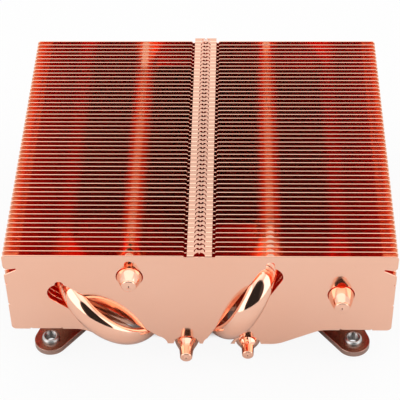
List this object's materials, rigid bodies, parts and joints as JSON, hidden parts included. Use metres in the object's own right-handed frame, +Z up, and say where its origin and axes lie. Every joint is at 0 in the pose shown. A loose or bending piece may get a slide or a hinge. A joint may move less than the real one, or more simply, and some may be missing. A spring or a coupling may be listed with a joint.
{
  "type": "passive server processor heatsink",
  "caption": "Low copper heatsink: a stack of thin vertical fins on U-shaped heat pipes over a grooved base plate, with steel arms that bolt it over a processor.",
  "frame": {"origin": "middle of the contact face that meets the processor, under the centre of the fin stack", "axes": "+X across the fins' width, +Y from the front of the stack to its back, +Z up from the processor"},
  "size_m": [0.092, 0.0922, 0.0365],
  "materials": {
    "fin_copper": "bright rolled copper sheet",
    "pipe_copper": "polished drawn copper tube",
    "base_copper": "milled copper",
    "bracket_steel": "nickel-plated steel"
  },
  "bodies": {
    "root": {"fin_01": "fin_copper", "fin_02": "fin_copper", "fin_03": "fin_copper", "fin_04": "fin_copper", "fin_05": "fin_copper", "fin_06": "fin_copper", "fin_07": "fin_copper", "fin_08": "fin_copper", "fin_09": "fin_copper", "fin_10": "fin_copper", "fin_11": "fin_copper", "fin_12": "fin_copper", "fin_13": "fin_copper", "fin_14": "fin_copper", "fin_15": "fin_copper", "fin_16": "fin_copper", "fin_17": "fin_copper", "fin_18": "fin_copper", "fin_19": "fin_copper", "fin_20": "fin_copper", "fin_21": "fin_copper", "fin_22": "fin_copper", "fin_23": "fin_copper", "fin_24": "fin_copper", "fin_25": "fin_copper", "fin_26": "fin_copper", "fin_27": "fin_copper", "fin_28": "fin_copper", "fin_29": "fin_copper", "fin_30": "fin_copper", "fin_31": "fin_copper", "fin_32": "fin_copper", "fin_33": "fin_copper", "fin_34": "fin_copper", "fin_35": "fin_copper", "fin_36": "fin_copper", "fin_37": "fin_copper", "fin_38": "fin_copper", "fin_39": "fin_copper", "fin_40": "fin_copper", "fin_41": "fin_copper", "fin_42": "fin_copper", "fin_43": "fin_copper", "fin_44": "fin_copper", "fin_45": "fin_copper", "fin_46": "fin_copper", "fin_47": "fin_copper", "fin_48": "fin_copper", "fin_49": "fin_copper", "fin_50": "fin_copper", "fin_51": "fin_copper", "fin_52": "fin_copper", "fin_53": "fin_copper", "fin_54": "fin_copper", "heat_pipe_front_outer": "pipe_copper", "heat_pipe_front_inner": "pipe_copper", "heat_pipe_rear_inner": "pipe_copper", "heat_pipe_rear_outer": "pipe_copper", "base_plate": "base_copper", "mounting_brackets": "bracket_steel"}
  },
  "joints": []
}
